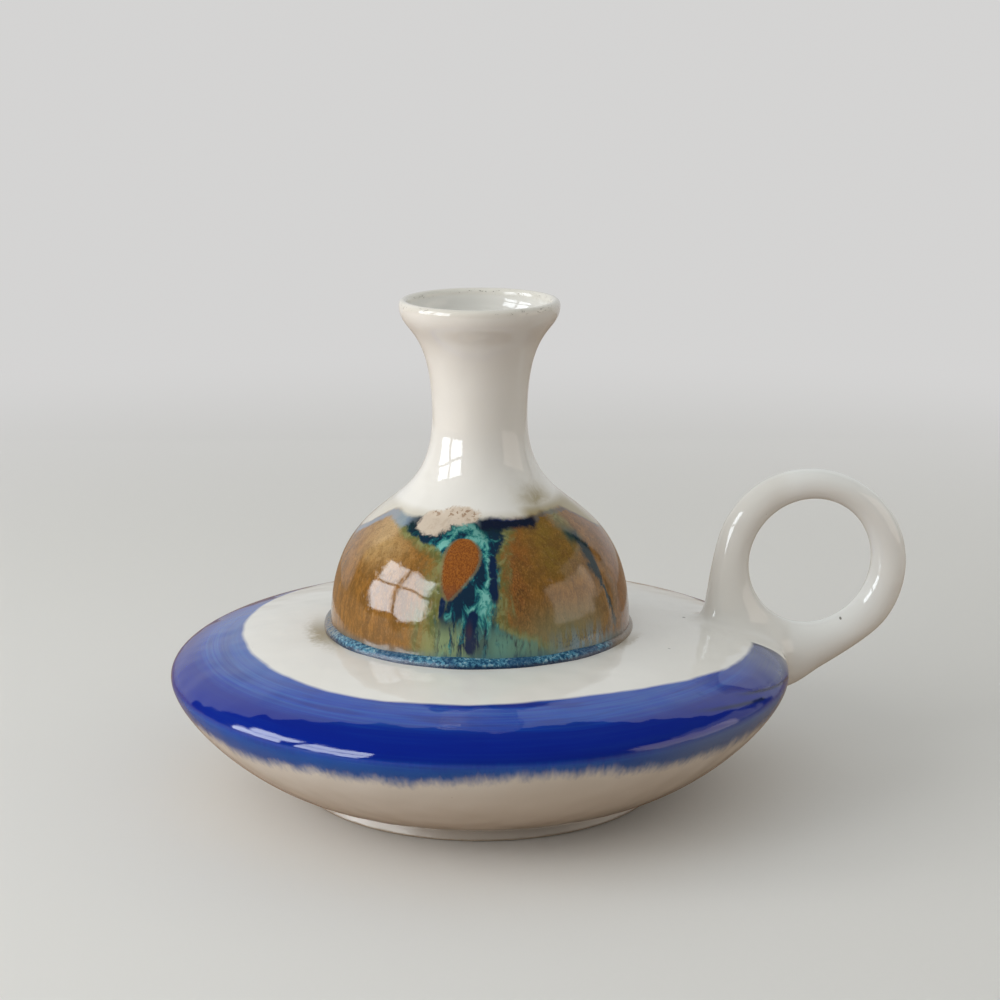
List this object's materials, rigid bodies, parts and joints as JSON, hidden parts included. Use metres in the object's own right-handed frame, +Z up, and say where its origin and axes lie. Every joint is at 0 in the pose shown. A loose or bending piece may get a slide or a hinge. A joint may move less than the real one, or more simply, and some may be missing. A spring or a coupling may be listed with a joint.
{
  "type": "chamberstick",
  "caption": "Glazed pottery chamberstick: a hollow round body on a foot, a bell with a flared candle cup, and a finger loop on the shoulder.",
  "frame": {"origin": "on the axis of the body, on the surface that it stands on", "axes": "+Z up along the axis of the body and the candle socket, +X towards the finger loop"},
  "size_m": [0.1946, 0.16, 0.1273],
  "materials": {
    "cream_glaze": "clear gloss over cream",
    "cobalt_glaze": "clear gloss over cream, with a brushed cobalt band round the rim",
    "running_glaze": "gloss, runs of brown, teal and navy",
    "pooled_glaze": "thick gloss, mottled blue and white",
    "bare_clay": "bare fired clay, matt"
  },
  "bodies": {
    "root": {"base_bowl": "cobalt_glaze", "foot_ring": "bare_clay", "top_deck": "cobalt_glaze", "candle_bell": "running_glaze", "candle_cup": "cream_glaze", "glaze_bead": "pooled_glaze", "finger_loop": "cream_glaze"}
  },
  "joints": []
}
